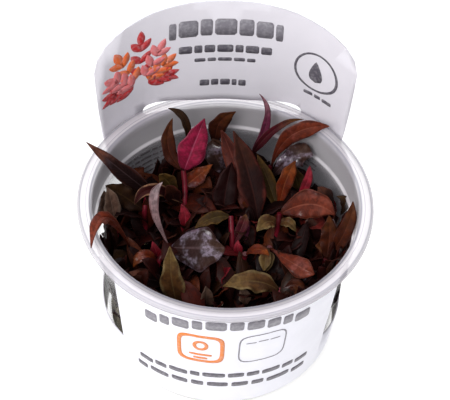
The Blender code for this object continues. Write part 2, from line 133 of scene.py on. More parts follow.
# One row for each shoot: its name, where it leaves the gel, its nodes, and its leaves.
SHOOTS = (
    ("magenta", (-12, 8), ((-13, 17, 44), (-13, 21.5, 48), (-13.5, 25, 52)), (
        Leaf("magenta", 2, (-10, 29, 61), (-6.5, 34, 69), 10, 0.42, -90, 40, 16, 0.1),
        Leaf("red_brown", 2, (-19, 29, 60), (-17.5, 34, 69), 5.5, 0.5, -60, 30, 20, 0.1),
        Leaf("orange", 1, (-8, 25, 49.5), (-3.5, 26, 54), 6, 0.35, -80, 50, 18, 0.2),
        Leaf("cream_edge", 0, (-24.5, 15.5, 53), (-30.5, 11, 50), 4.5, 0.5, -90, 40, 24, 0.1))),
    ("back_left", (-8, 27), ((-12, 31.5, 58),), (
        Leaf("dark_olive", 0, (-13.5, 34, 68), (-19, 35, 73), 3.5, 0.5, -50, 30, 24, 0.1),)),
    ("back", (0, 24), ((3.5, 29.5, 43), (-2, 36.5, 52)), (
        Leaf("red_brown", 1, (-1, 39, 61), (4.5, 38, 68), 7, 0.5, -80, 35, 16, 0.1),
        Leaf("wet_brown", 0, (-2, 30, 53), (-3.5, 33.5, 58), 8, 0.6, -90, 50, 12, 0.2))),
    ("centre", (10, 3), ((11, 7, 39.5), (12.5, 9.5, 43)), (
        Leaf("burgundy", 1, (9, 19, 55), (3.5, 31, 66), 10.5, 0.5, -70, 42, 18, 0.1),
        Leaf("pink_brown", 0, (5, 25.5, 52), (-0.5, 34, 63), 7, 0.5, -100, 40, 14, 0.1))),
    ("back_middle", (9, 26), ((10.5, 34, 51),), (
        Leaf("mauve", 0, (15.5, 37, 66), (12.5, 41, 74), 3, 0.3, -90, 20, 24, 0.1),
        Leaf("burgundy_olive", 0, (19, 33.5, 65), (28, 35.5, 67), 3, 0.3, -90, 45, 24, 0.1))),
    ("back_right", (14, 23), ((16.5, 27, 45), (17, 29, 50)), (
        Leaf("terracotta", 1, (24, 31, 64), (36.5, 30.5, 69), 7, 0.6, -65, 45, 14, 0.1),
        Leaf("glare", 0, (25, 28, 56), (31.5, 27.5, 57), 8.5, 0.6, -80, 60, 10, 0.4))),
    ("right", (17, 10), ((19.5, 14.5, 42.5),), (
        Leaf("orange", 0, (21.5, 19, 52), (25, 23.5, 59), 6, 0.6, -90, 40, 14, 0.2),
        Leaf("olive", 0, (16, 21.5, 49.5), (12, 27, 58), 5.5, 0.5, -60, 40, 18, 0.1),
        Leaf("crimson", 0, (28, 19, 48), (30, 22, 58), 3.5, 0.7, -90, 30, 20, 0.1))),
    ("right_front", (17, 2), ((19, 6.5, 45), (19.5, 8.5, 48.5)), (
        Leaf("terracotta", 1, (30, 8, 54), (38, 4, 53), 10.5, 0.5, -85, 55, 12, 0.1),
        Leaf("gold", 0, (15, 5, 48), (11.5, 2.5, 46), 5.5, 0.5, -90, 70, 18, 0.2),
        Leaf("gold", 0, (22.5, 5.5, 47), (25, 3, 45), 4, 0.5, -90, 70, 18, 0.2))),
    ("left", (-23, 12), ((-27, 14.5, 43), (-25.5, 20.5, 46.5)), (
        Leaf("purple_grey", 1, (-37, 17.5, 63), (-47, 18.5, 74), 6.5, 0.26, -110, 40, 20, 0.1),
        Leaf("dark_olive", 0, (-34.5, 15, 50), (-40.5, 14.5, 56), 8, 0.5, -70, 50, 14, 0.2))),
    ("far_left", (-33, 6), ((-37.5, 7.5, 45),), (
        Leaf("tan", 0, (-38.5, 10, 52), (-40, 12, 58), 6, 0.45, -80, 35, 18, 0.1),)),
    ("left_front", (-27, -6), ((-31.5, -4, 45.5),), (
        Leaf("terracotta", 0, (-40.5, -10.5, 69), (-45, -22, 67), 5, 0.6, -120, 45, 22, 0.1),)),
    ("left_middle", (-19, -10), ((-22.5, -8.5, 42.5), (-18.5, -4.5, 46)), (
        Leaf("orange", 0, (-27.5, -10, 48), (-31, -13, 45.5), 4.5, 0.5, -90, 55, 16, 0.2),
        Leaf("lilac", 1, (-24, 5.5, 56), (-21, 11, 62), 3.5, 0.6, -90, 40, 24, 0.1),
        Leaf("glare", 1, (-8, -9, 51), (0, -9, 51), 16, 0.5, -85, 60, 4, 0.06))),
    ("front_left", (-12, -21), ((-16, -26, 42),), (
        Leaf("gold", 0, (-18.5, -23, 54), (-19, -18, 63), 8, 0.35, -95, 30, 18, 0.15),)),
    ("front", (-4, -20), ((-6, -25.5, 40),), (
        Leaf("tan", 0, (-6.5, -26.5, 46), (-7, -27, 53), 5, 0.45, -90, 40, 16, 0.1),)),
    ("middle", (3, -5), ((3, -1, 42.5), (2.5, 6.5, 49.5)), (
        Leaf("olive", 1, (-4, 4, 51), (-10, 0.5, 50), 5, 0.5, -90, 65, 18, 0.2),
        Leaf("burgundy_olive", 0, (6.5, 3.5, 48), (7.5, 6, 51), 4, 0.5, -90, 50, 22, 0.1))),
    ("middle_front", (6, -6), ((7, -9, 48),), (
        Leaf("orange", 0, (11.5, -9.5, 51), (15, -11, 49.5), 3.5, 0.5, -90, 65, 22, 0.1),)),
    ("right_middle", (14, -2), ((15.5, -5, 46.5),), (
        Leaf("terracotta", 0, (22.5, -14, 49.5), (30, -19.5, 50), 7.5, 0.7, -70, 60, 14, 0.1),
        Leaf("gold", 0, (14, -9, 46), (13.5, -13, 43.5), 4.5, 0.6, -90, 50, 20, 0.1))),
    ("front_right", (14, -18), ((18.5, -21.5, 44),), (
        Leaf("gold", 0, (9, -22.5, 50), (-1, -24, 49), 8, 0.5, -90, 65, 14, 0.25),
        Leaf("red_brown", 0, (24, -20.5, 45.5), (24, -24.5, 42.5), 5, 0.6, -90, 40, 16, 0.2))),
    ("far_right", (31, -7), ((35, -7.5, 43),), (
        Leaf("red_brown", 0, (41, -5, 56), (43, 0, 65), 5.5, 0.5, -110, 35, 20, 0.2),
        Leaf("red_brown", 0, (36, -2.5, 50), (35.5, 0.5, 57), 6.5, 0.45, -90, 35, 16, 0.2))),
)
# Small leaves that stand out of the undergrowth.  Each has its base in place of a node.
LOOSE_LEAVES = (
    Leaf("burgundy", (-16, 17.5, 42), (-17.5, 16, 50), (-19.5, 15.5, 55), 6, 0.5, -90, 40, 16, 0.1),
    Leaf("shade", (0, 11.5, 40), (1, 17.5, 50), (3, 23.5, 58), 9, 0.5, -90, 40, 16, 0.1),
    Leaf("wet_brown", (1.5, 30, 46), (-0.5, 32.5, 52), (-3.5, 34.5, 58), 7, 0.6, -90, 45, 14, 0.2),
    Leaf("crimson", (-13.5, 6, 40), (-13, 8.5, 46), (-14.5, 9.5, 52), 4.5, 0.5, -80, 40, 20, 0.1),
    Leaf("dark_olive", (-30, -9, 36), (-34.5, -8, 42), (-37.5, -6.5, 47), 8, 0.5, -70, 60, 12, 0.1),
    Leaf("purple_grey", (-20, -12, 36), (-26.5, -15, 42), (-32.5, -15.5, 46), 7, 0.5, -80, 60, 12, 0.1),
    Leaf("mauve", (8, 3.5, 40), (7.5, 6.5, 44), (6, 7.5, 48), 4.5, 0.6, -90, 50, 16, 0.1),
    Leaf("burgundy", (10, 2.5, 38), (8, 5.5, 42), (5, 7.5, 45), 7, 0.5, -90, 50, 14, 0.1),
    Leaf("gold", (13, -6, 44), (15, -8.5, 44), (14.5, -12, 42), 5, 0.4, -90, 60, 18, 0.1),
    Leaf("lilac", (35.5, -1, 40), (36.5, 1.5, 47), (37.5, 3, 52), 5.5, 0.5, -100, 50, 14, 0.1),
    Leaf("red_brown", (39, -2, 38), (36, -2.5, 43), (31.5, -3, 45), 8, 0.5, -100, 60, 14, 0.2),
    Leaf("burgundy", (33, 3.5, 38), (31, 4.5, 44), (29.5, 7.5, 48), 7, 0.5, -100, 50, 14, 0.1),
    Leaf("dark_olive", (41, 10, 46), (42, 10.5, 52), (39, 11.5, 54), 3.5, 0.5, -140, 50, 20, 0.1),
    Leaf("purple_grey", (37, 14, 42), (35.5, 16.5, 48), (33, 17.5, 52), 6.5, 0.5, -100, 50, 14, 0.1),
    Leaf("olive", (27, 23, 44), (26, 25, 48), (24.5, 27, 52), 5.5, 0.5, -90, 45, 14, 0.1),
    Leaf("tan", (7, -24.5, 40), (6.5, -23.5, 43), (5, -22, 45), 4.5, 0.5, -90, 60, 20, 0.1),
    Leaf("wet_brown", (26, -17, 38), (26.5, -16.5, 43), (27, -14.5, 46), 5, 0.5, -90, 50, 14, 0.1),
    Leaf("crimson", (-22, -5.5, 36), (-23, -5, 43), (-24.5, -4.5, 49), 4, 0.5, -90, 40, 18, 0.1),
    Leaf("dark_olive", (-25, 19, 42), (-30.5, 18.5, 48), (-36, 18, 52), 8, 0.5, -80, 50, 14, 0.1),
    Leaf("tan", (-38.5, 9, 42), (-40.5, 10.5, 49), (-41, 13, 55), 7.5, 0.5, -60, 40, 14, 0.1),
    Leaf("burgundy", (-8, -18, 34), (-13, -17.5, 40), (-16.5, -17, 44), 8, 0.5, -90, 60, 14, 0.1),
    Leaf("red_brown", (34, -4.5, 38), (36, -5, 44), (38, -5.5, 48), 6.5, 0.5, -100, 50, 14, 0.1),
    Leaf("burgundy_olive", (-3, -15.5, 36), (0, -15, 40), (4, -13, 43), 7, 0.5, -90, 60, 14, 0.1),
    Leaf("purple_grey", (16, -18, 34), (20.5, -19.5, 38), (24, -19, 42), 7.5, 0.5, -90, 60, 14, 0.1),
    Leaf("crimson", (6.5, -3, 38), (5, -2.5, 42), (5, -0.5, 45), 3.5, 0.5, -90, 50, 16, 0.1),
    Leaf("olive", (-16, 20, 44), (-19, 21.5, 50), (-22, 20.5, 55), 6, 0.5, -80, 45, 16, 0.1),
)
# Beds of small leaves: how far out they start as a share of the wall, their gap from it, the
# angles round the cup, the heights of their bases and tops, their lengths, how steeply they rise,
# and their tones on the ramp from painted shade to lit, darkest in the low bed.
Bed = namedtuple("Bed", "name inner gap around feet top lengths rises tones replaced")
BEDS = (
    Bed("low_leaves", 0.0, 1.8, (0, 360), (12, 33), 41, (11, 20), (15, 75), (0.0, 0.62),
        ("undergrowth",)),
    Bed("middle_leaves", 0.0, 1.8, (0, 360), (30, 39), 49, (13, 22), (25, 75), (0.1, 1.0), ()),
    Bed("wall_leaves", 0.96, 0.8, (0, 360), (12, 36), 46, (12, 19), (60, 88), (0.1, 0.9), ()),
    Bed("rim_leaves", 0.97, 0.8, (178, 366), (36, 42), 54, (12, 18), (60, 88), (0.2, 0.95), ()),
)
SPINDLE_SHOOTS = ("magenta", "middle")
EXTRA_FOLD = 8.0
TIP_TWIST = math.radians(32.0)
MARGIN_CURL = 0.3
OUTLINE_WAVER = 0.07


class PlantSettings(bpy.types.PropertyGroup):
    leaf_thickness: bpy.props.FloatProperty(
        name="Leaf thickness", description="Thickness of a leaf's blade",
        default=0.00034, min=0.0001, unit="LENGTH", subtype="DISTANCE")
    petiole_gap: bpy.props.FloatProperty(
        name="Petiole start", description="How far from its stem's middle a leaf starts",
        default=0.0005, min=0.0, unit="LENGTH", subtype="DISTANCE")
    stem_radius: bpy.props.FloatProperty(
        name="Stem radius", description="Radius of a shoot's stem",
        default=0.0007, min=0.0002, unit="LENGTH", subtype="DISTANCE")
    low_leaves: bpy.props.IntProperty(
        name="Low leaves", description="Leaves in the undergrowth",
        default=480, min=1)
    middle_leaves: bpy.props.IntProperty(
        name="Middle leaves", description="Small leaves between the undergrowth and the tops",
        default=170, min=1)
    wall_leaves: bpy.props.IntProperty(
        name="Wall leaves", description="Low leaves that stand against the cup's wall",
        default=230, min=1)
    rim_leaves: bpy.props.IntProperty(
        name="Rim leaves", description="Small leaves that reach up the wall towards the rim",
        default=90, min=1)
    low_stems: bpy.props.IntProperty(
        name="Low stems", description="Stems in the undergrowth", default=70, min=1)
    seed: bpy.props.IntProperty(
        name="Seed", description="Start of the undergrowth's random draws", default=11)


class CupSettings(bpy.types.PropertyGroup):
    steps: bpy.props.IntProperty(
        name="Steps", description="Steps round the cup", default=144, min=24)
    plastic: bpy.props.FloatVectorProperty(
        name="Plastic", description="Tint of the clear plastic", subtype="COLOR", size=4,
        default=(0.95, 0.9, 0.94, 1.0), min=0.0, max=1.0)
    gel: bpy.props.FloatVectorProperty(
        name="Gel", description="Tint of the nutrient gel", subtype="COLOR", size=4,
        default=(0.62, 0.56, 0.42, 1.0), min=0.0, max=1.0)


class CardSettings(bpy.types.PropertyGroup):
    outer: bpy.props.FloatVectorProperty(
        name="Outer face", description="Colour of the coated outer face", subtype="COLOR",
        size=4, default=(0.84, 0.83, 0.89, 1.0), min=0.0, max=1.0)
    inner: bpy.props.FloatVectorProperty(
        name="Inner face", description="Colour of the inner face", subtype="COLOR", size=4,
        default=(0.75, 0.72, 0.77, 1.0), min=0.0, max=1.0)
    ink: bpy.props.FloatVectorProperty(
        name="Ink", description="Colour of the dark marks", subtype="COLOR", size=4,
        default=(0.09, 0.08, 0.10, 1.0), min=0.0, max=1.0)


class StageSettings(bpy.types.PropertyGroup):
    distance: bpy.props.FloatProperty(
        name="Camera distance", description="From the camera to the point it looks at",
        default=0.8, min=0.1, unit="LENGTH", subtype="DISTANCE")
    elevation: bpy.props.FloatProperty(
        name="Camera elevation", description="Angle of the camera above the horizon",
        default=math.radians(49.69), subtype="ANGLE")
    azimuth: bpy.props.FloatProperty(
        name="Camera azimuth", description="Angle of the camera round the cup",
        default=math.radians(-4.0), subtype="ANGLE")
    roll: bpy.props.FloatProperty(
        name="Camera roll", description="Turn of the camera about its own axis",
        default=math.radians(3.12), subtype="ANGLE")
    lens: bpy.props.FloatProperty(
        name="Lens", description="Focal length in millimetres", default=183.7, min=1.0)


def linear(colour):
    """A screen colour in 8-bit values as a linear colour with alpha."""
    out = []
    for value in colour:
        share = value / 255
        out.append(share / 12.92 if share <= 0.04045 else ((share + 0.055) / 1.055) ** 2.4)
    return (*out, 1.0)


def put(tree, kind, inputs=None, **settings):
    """A new node with its settings made and its sockets filled or linked."""
    item = tree.nodes.new(kind)
    for key, value in settings.items():
        setattr(item, key, value)
    for key, value in (inputs or {}).items():
        socket = item.inputs[key]
        if isinstance(value, bpy.types.NodeSocket):
            tree.links.new(value, socket)
        else:
            socket.default_value = value
    return item


def maths(tree, operation, first, second=0.0, clamp=False):
    item = put(tree, "ShaderNodeMath", {0: first, 1: second}, operation=operation)
    item.use_clamp = clamp
    return item.outputs[0]


def band(tree, value, low, high, start=0.0, end=1.0):
    item = put(
        tree, "ShaderNodeMapRange",
        {"Value": value, "From Min": low, "From Max": high, "To Min": start, "To Max": end},
        interpolation_type="SMOOTHSTEP")
    return item.outputs[0]


def blend_colours(tree, share, first, second):
    item = put(tree, "ShaderNodeMix", {0: share, 6: first, 7: second}, data_type="RGBA")
    return item.outputs[2]


def new_group(name, colours, numbers, outputs):
    group = bpy.data.node_groups.new(name, "ShaderNodeTree")
    for label in colours:
        group.interface.new_socket(label, in_out="INPUT", socket_type="NodeSocketColor")
    for label in numbers:
        group.interface.new_socket(label, in_out="INPUT", socket_type="NodeSocketFloat")
    for label, kind in outputs:
        group.interface.new_socket(label, in_out="OUTPUT", socket_type=kind)
    return group, put(group, "NodeGroupInput"), put(group, "NodeGroupOutput")


def grain_group():
    """Fine unevenness through the object's own space, from 0 to 1."""
    name = "surface grain"
    if name in bpy.data.node_groups:
        return bpy.data.node_groups[name]
    group, given, result = new_group(
        name, (), ("Scale", "Detail"), (("Value", "NodeSocketFloat"),))
    place = put(group, "ShaderNodeTexCoord").outputs["Object"]
    noise = put(group, "ShaderNodeTexNoise", {
        "Vector": place, "Scale": given.outputs["Scale"], "Detail": given.outputs["Detail"]})
    group.links.new(noise.outputs["Fac"], result.inputs["Value"])
    return group


def grain(tree, scale, detail=3.0):
    item = put(tree, "ShaderNodeGroup", node_tree=grain_group())
    item.inputs["Scale"].default_value = scale
    item.inputs["Detail"].default_value = detail
    return item.outputs["Value"]


def leaf_blade_group():
    """Leaf colour, roughness and height from the blade's own map and its four colours."""
    name = "leaf blade"
    if name in bpy.data.node_groups:
        return bpy.data.node_groups[name]
    group, given, result = new_group(
        name, ("Body", "Tip", "Edge", "Rib"), ("Wet",),
        (("Colour", "NodeSocketColor"), ("Roughness", "NodeSocketFloat"),
         ("Height", "NodeSocketFloat"), ("Film", "NodeSocketFloat")))
    blade_map = put(group, "ShaderNodeUVMap", uv_map="blade").outputs[0]
    parts = put(group, "ShaderNodeSeparateXYZ", {0: blade_map})
    centred = maths(group, "SUBTRACT", parts.outputs[0], 0.5)
    across = maths(group, "MULTIPLY", maths(group, "ABSOLUTE", centred), 2.0)
    along = parts.outputs[1]
    patches = grain(group, 190.0)
    fine = grain(group, 900.0, 4.0)

    drift = maths(group, "MULTIPLY", maths(group, "SUBTRACT", patches, 0.5), 0.7)
    tip_share = band(group, maths(group, "ADD", along, drift), 0.4, 0.95)
    colour = blend_colours(group, tip_share, given.outputs["Body"], given.outputs["Tip"])
    margin = band(group, maths(group, "ADD", across, drift), 0.68, 1.0, 0.0, 0.85)
    colour = blend_colours(group, margin, colour, given.outputs["Edge"])
    shadow = band(group, maths(group, "ADD", along, drift), -0.1, 0.42, 0.7, 0.0)
    mottle = band(group, grain(group, 420.0, 4.0), 0.38, 0.6, 0.4, 0.0)
    colour = blend_colours(
        group, maths(group, "MAXIMUM", shadow, mottle), colour, (0.006, 0.002, 0.002, 1.0))
    # Painted highlight: a thin line of the midrib colour along the blade's margins.
    rim = band(group, across, 0.9, 0.98, 0.0, 0.45)
    colour = blend_colours(group, rim, colour, given.outputs["Rib"])

    slant = maths(group, "MULTIPLY", across, 0.16)
    phase = maths(group, "MULTIPLY", maths(group, "SUBTRACT", along, slant), 58.0)
    ridge = maths(group, "ABSOLUTE", maths(group, "SINE", phase))
    vein = band(group, ridge, 0.0, 0.32, 0.16, 0.0)
    rib = band(group, across, 0.02, 0.1, 0.6, 0.0)
    lines = maths(group, "MAXIMUM", vein, rib)
    colour = blend_colours(group, lines, colour, given.outputs["Rib"])
    shade = band(group, fine, 0.35, 0.62, 0.3, 0.0)
    colour = blend_colours(group, shade, colour, (0.02, 0.008, 0.008, 1.0))

    spread = maths(group, "MULTIPLY", given.outputs["Wet"], 0.16)
    pools = band(group, maths(group, "ADD", grain(group, 210.0, 4.0), spread), 0.58, 0.74)
    film = maths(group, "MULTIPLY", pools, given.outputs["Wet"])
    glint = maths(group, "MULTIPLY", maths(group, "MULTIPLY", film, film),
                  band(group, fine, 0.38, 0.62, 0.1, 0.42))
    colour = blend_colours(group, glint, colour, (0.42, 0.34, 0.46, 1.0))
    rough = maths(group, "SUBTRACT", 0.45, maths(group, "MULTIPLY", film, 0.2))
    rough = maths(group, "ADD", rough, maths(group, "MULTIPLY", shade, 0.4))
    height = maths(group, "SUBTRACT", maths(group, "MULTIPLY", fine, 0.35), lines)
    height = maths(group, "ADD", height, maths(group, "MULTIPLY", glint, 1.5))
    results = (("Colour", colour), ("Roughness", rough), ("Height", height), ("Film", film))
    for label, value in results:
        group.links.new(value, result.inputs[label])
    return group


def principled(name):
    material = bpy.data.materials.new(name)
    material.use_nodes = True
    tree = material.node_tree
    return material, tree, tree.nodes["Principled BSDF"]


def bump(tree, shader, height, distance, strength=1.0):
    item = put(
        tree, "ShaderNodeBump",
        {"Height": height, "Distance": distance, "Strength": strength})
    tree.links.new(item.outputs[0], shader.inputs["Normal"])


def dress_leaf(tree, shader, blade):
    """Feeds a blade group to the shader: a dull skin with a wet film in places."""
    tree.links.new(blade.outputs["Colour"], shader.inputs["Base Color"])
    tree.links.new(blade.outputs["Roughness"], shader.inputs["Roughness"])
    tree.links.new(blade.outputs["Film"], shader.inputs["Coat Weight"])
    shader.inputs["Coat Roughness"].default_value = 0.08
    shader.inputs["Specular IOR Level"].default_value = 0.1
    bump(tree, shader, blade.outputs["Height"], 0.0002, 0.7)


def leaf_material(look_name):
    name = f"{look_name} leaf"
    if name in bpy.data.materials:
        return bpy.data.materials[name]
    look = LOOKS[look_name]
    material, tree, shader = principled(name)
    blade = put(tree, "ShaderNodeGroup", node_tree=leaf_blade_group())
    for label, colour in zip(("Body", "Tip", "Edge", "Rib"), look[:4]):
        blade.inputs[label].default_value = linear(colour)
    blade.inputs["Wet"].default_value = look.wet
    dress_leaf(tree, shader, blade)
    return material


def stem_material():
    """Pink to crimson stems that darken in patches."""
    material, tree, shader = principled("shoot stem")
    share = band(tree, grain(tree, 140.0), 0.4, 0.6)
    colour = blend_colours(tree, share, linear((112, 20, 36)), linear((66, 12, 18)))
    tree.links.new(colour, shader.inputs["Base Color"])
    shader.inputs["Roughness"].default_value = 0.4
    shader.inputs["Specular IOR Level"].default_value = 0.2
    bump(tree, shader, grain(tree, 900.0), 0.0001, 0.5)
    return material


def colour_ramp(tree, share, stops):
    """A ramp with the given stops of place and four-part colour."""
    ramp = put(tree, "ShaderNodeValToRGB", {"Fac": share})
    while len(ramp.color_ramp.elements) < len(stops):
        ramp.color_ramp.elements.new(0.5)
    for element, (place, colour) in zip(ramp.color_ramp.elements, stops):
        element.position = place
        element.color = colour
    return ramp


def low_leaf_material():
    """Dark leaves, each with its own tone on a ramp from painted deep shade to lit,
    from near black to brown and olive.
    """
    material, tree, shader = principled("low leaf")
    tone = put(tree, "ShaderNodeAttribute", attribute_name="tone").outputs["Fac"]
    ramp = colour_ramp(tree, tone, [(place, linear(colour)) for place, colour in LOW_TONES])
    blade = put(tree, "ShaderNodeGroup", node_tree=leaf_blade_group())
    blade.inputs["Wet"].default_value = 0.08
    dark = blend_colours(tree, 0.35, ramp.outputs[0], (0.0, 0.0, 0.0, 1.0))
    light = blend_colours(tree, 0.12, ramp.outputs[0], linear((124, 56, 44)))
    for label, colour in (("Body", ramp.outputs[0]), ("Tip", ramp.outputs[0]),
                          ("Edge", dark), ("Rib", light)):
        tree.links.new(colour, blade.inputs[label])
    dress_leaf(tree, shader, blade)
    return material


def plastic_material(tint):
    """Clear thin plastic with a fine haze, whiter at its step and its flange as painted highlights,
    darker low down as painted shade, and with painted shade lines on its rim.
    """
    material, tree, shader = principled("clear moulded plastic")
    parts = put(tree, "ShaderNodeSeparateXYZ", {
        0: put(tree, "ShaderNodeTexCoord").outputs["Object"]})
    share = maths(tree, "DIVIDE", parts.outputs[2], CUP_TOP * MM)
    # Painted highlights whiten the step and the flange; painted shade darkens the low wall.
    stops = []
    for height, lightness, opacity in PLASTIC_SHADE_AND_HIGHLIGHT_BANDS:
        stops.append((height / CUP_TOP, (*(part * lightness for part in tint[:3]), opacity)))
    ramp = colour_ramp(tree, share, stops)
    # Painted shade: dark lines round the rim's top at the listed radii.
    squares = [maths(tree, "MULTIPLY", part, part) for part in parts.outputs[:2]]
    reach = maths(tree, "SQRT", maths(tree, "ADD", *squares))
    inner = RIM_SHADE_LINES[0][0]
    width = RIM_RADIUS - inner
    across = band(tree, reach, inner * MM, RIM_RADIUS * MM)
    marks = [((radius - inner) / width, (mark, mark, mark, 1.0)) for radius, mark in RIM_SHADE_LINES]
    on_rim = band(tree, parts.outputs[2], 0.0632, 0.0636)
    line = maths(tree, "MULTIPLY", colour_ramp(tree, across, marks).outputs[0], on_rim)
    colour = blend_colours(tree, line, ramp.outputs["Color"], RIM_SHADE_TINT)
    tree.links.new(colour, shader.inputs["Base Color"])
    alpha = maths(tree, "MAXIMUM", ramp.outputs["Alpha"], maths(tree, "MULTIPLY", line, 0.9))
    tree.links.new(alpha, shader.inputs["Alpha"])
    shader.inputs["IOR"].default_value = 1.49
    shader.inputs["Specular IOR Level"].default_value = 0.15
    haze = band(tree, grain(tree, 60.0), 0.35, 0.65, 0.08, 0.18)
    tree.links.new(haze, shader.inputs["Roughness"])
    bump(tree, shader, grain(tree, 45.0, 1.0), 0.0004, 0.15)
    return material


def gel_material(tint):
    material, tree, shader = principled("wet gel")
    cloud = band(tree, grain(tree, 90.0), 0.35, 0.65, 0.0, 0.35)
    colour = blend_colours(tree, cloud, tint, (0.36, 0.30, 0.20, 1.0))
    tree.links.new(colour, shader.inputs["Base Color"])
    shader.inputs["Roughness"].default_value = 0.12
    shader.inputs["Transmission Weight"].default_value = 0.55
    shader.inputs["IOR"].default_value = 1.34
    bump(tree, shader, grain(tree, 220.0), 0.0004, 0.4)
    return material


def card_material(name, colour):
    """Coated card: a faint mottle, a fine fibre relief and a soft sheen."""
    material, tree, shader = principled(name)
    mottle = band(tree, grain(tree, 120.0), 0.3, 0.7, 0.0, 0.08)
    shaded = blend_colours(tree, mottle, colour, (0.45, 0.43, 0.48, 1.0))
    tree.links.new(shaded, shader.inputs["Base Color"])
    tree.links.new(band(tree, grain(tree, 500.0), 0.3, 0.7, 0.36, 0.5), shader.inputs["Roughness"])
    bump(tree, shader, grain(tree, 2600.0, 2.0), 0.00004, 0.4)
    return material


def ink_material(name, colour):
    """Printed ink with a faint unevenness."""
    material, tree, shader = principled(name)
    uneven = band(tree, grain(tree, 900.0), 0.4, 0.7, 0.0, 0.2)
    shaded = blend_colours(tree, uneven, colour, (0.6, 0.58, 0.6, 1.0))
    tree.links.new(shaded, shader.inputs["Base Color"])
    shader.inputs["Roughness"].default_value = 0.4
    return material


def finish_piece(name, mesh, materials, replaced=()):
    """Puts a finished mesh in the scene, on the cup's body, and hides the frame's parts it replaces."""
    piece = bpy.data.objects.new(name, mesh)
    bpy.context.scene.collection.objects.link(piece)
    for material in materials:
        mesh.materials.append(material)
    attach(piece, BODY)
    if replaced:
        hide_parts(*replaced)
    return piece


def mesh_from(name, shape):
    mesh = bpy.data.meshes.new(name)
    shape.to_mesh(mesh)
    shape.free()
    mesh.shade_smooth()
    return mesh


def thicken(piece, thickness, offset=0.0):
    wall = piece.modifiers.new("Thickness", "SOLIDIFY")
    wall.thickness = thickness
    wall.offset = offset
    wall.use_even_offset = False


def half_width(share, leaf):
    """Half the blade's width at a share of its length."""
    warped = max(share, 0.0) ** (math.log(0.5) / math.log(leaf.peak))
    blade = math.sin(math.pi * warped) ** 0.9 if 0.0 < share < 1.0 else 0.0
    return (0.08 * (1.0 - share) + 0.90 * blade + 0.02) * leaf.width / 2


def bend_blade(points, leaf, base, phase):
    """Bends a flat unit grid into the leaf: along its arc, folded on its rib and rippled."""
    middle = Vector(leaf.middle)
    tip = Vector(leaf.tip)
    heading = math.radians(leaf.heading)
    rise = math.radians(leaf.rise)
    facing = Vector((
        math.cos(rise) * math.cos(heading),
        math.cos(rise) * math.sin(heading),
        math.sin(rise)))
    fold = math.tan(math.radians(leaf.fold + EXTRA_FOLD))
    for point in points:
        share = min(max(point.co.x + 0.5, 0.0), 1.0)
        sideways = 2 * point.co.y
        place = base * (2 * share - 1) * (share - 1)
        place += middle * 4 * share * (1 - share)
        place += tip * share * (2 * share - 1)
        along = base * (4 * share - 3) + middle * (4 - 8 * share) + tip * (4 * share - 1)
        turn = Matrix.Rotation(TIP_TWIST * share * share * math.sin(phase), 3, along)
        side = turn @ along.cross(facing).normalized()
        upper = side.cross(along).normalized()
        turned = phase + (1.5 if sideways > 0 else 0.0)
        width = half_width(share, leaf) * (1.0 + OUTLINE_WAVER * math.sin(share * 15.0 + turned))
        reach = sideways * width
        lift = fold * abs(reach) - MARGIN_CURL * sideways * sideways * width
        wave = math.sin(share * 21.0 + turned)
        lift += leaf.ripple * wave * sideways * sideways * width
        point.co = (place + side * reach + upper * lift) * MM


def add_blade(shape, leaf, base, rows, columns, phase, tone=0.5):
    """A leaf's grid with its blade map and its tone."""
    blade_map = shape.loops.layers.uv.get("blade") or shape.loops.layers.uv.new("blade")
    tones = shape.verts.layers.float.get("tone") or shape.verts.layers.float.new("tone")
    made = bmesh.ops.create_grid(shape, x_segments=rows, y_segments=columns, size=0.5)["verts"]
    for face in {face for point in made for face in point.link_faces}:
        for corner in face.loops:
            spot = corner.vert.co
            corner[blade_map].uv = (spot.y + 0.5, spot.x + 0.5)
    for point in made:
        point[tones] = tone
    bend_blade(made, leaf, base, phase)


def leaf_base(leaf, node, gap):
    middle = Vector(leaf.middle)
    outward = Vector((middle.x - node[0], middle.y - node[1], 0.0)).normalized()
    return Vector(node) + outward * gap / MM


def build_leaf(name, leaf, node, number, settings):
    shape = bmesh.new()
    add_blade(shape, leaf, leaf_base(leaf, node, settings.petiole_gap), 28, 10, number * 1.7)
    mesh = mesh_from(name, shape)
    piece = finish_piece(
        f"blade_{name}", mesh, [leaf_material(leaf.look)], [f"leaf_{name}"])
    thicken(piece, settings.leaf_thickness)


def build_loose_leaves(settings):
    """The small leaves that stand out, one piece for each look."""
    for look in sorted({leaf.look for leaf in LOOSE_LEAVES}):
        shape = bmesh.new()
        for number, leaf in enumerate(LOOSE_LEAVES):
            if leaf.look == look:
                add_blade(shape, leaf, Vector(leaf.node), 20, 8, number * 1.7)
        name = f"loose_{look}"
        piece = finish_piece(name, mesh_from(name, shape), [leaf_material(look)])
        thicken(piece, settings.leaf_thickness)


def tube_mesh(name, paths, radius):
    """Round tubes through paths of (place, share of the radius), as one mesh."""
    curve = bpy.data.curves.new(name, "CURVE")
    curve.dimensions = "3D"
    curve.bevel_depth = radius
    curve.bevel_resolution = 2
    curve.resolution_u = 6
    curve.use_fill_caps = True
    for path in paths:
        spline = curve.splines.new("BEZIER")
        spline.bezier_points.add(len(path) - 1)
        for knot, (place, share) in zip(spline.bezier_points, path):
            knot.co = Vector(place) * MM
            knot.radius = share
            knot.handle_left_type = "AUTO"
            knot.handle_right_type = "AUTO"
    holder = bpy.data.objects.new(name, curve)
    bpy.context.scene.collection.objects.link(holder)
    bpy.context.view_layer.update()
    graph = bpy.context.evaluated_depsgraph_get()
    mesh = bpy.data.meshes.new_from_object(holder.evaluated_get(graph))
    bpy.data.objects.remove(holder, do_unlink=True)
    mesh.shade_smooth()
    return mesh


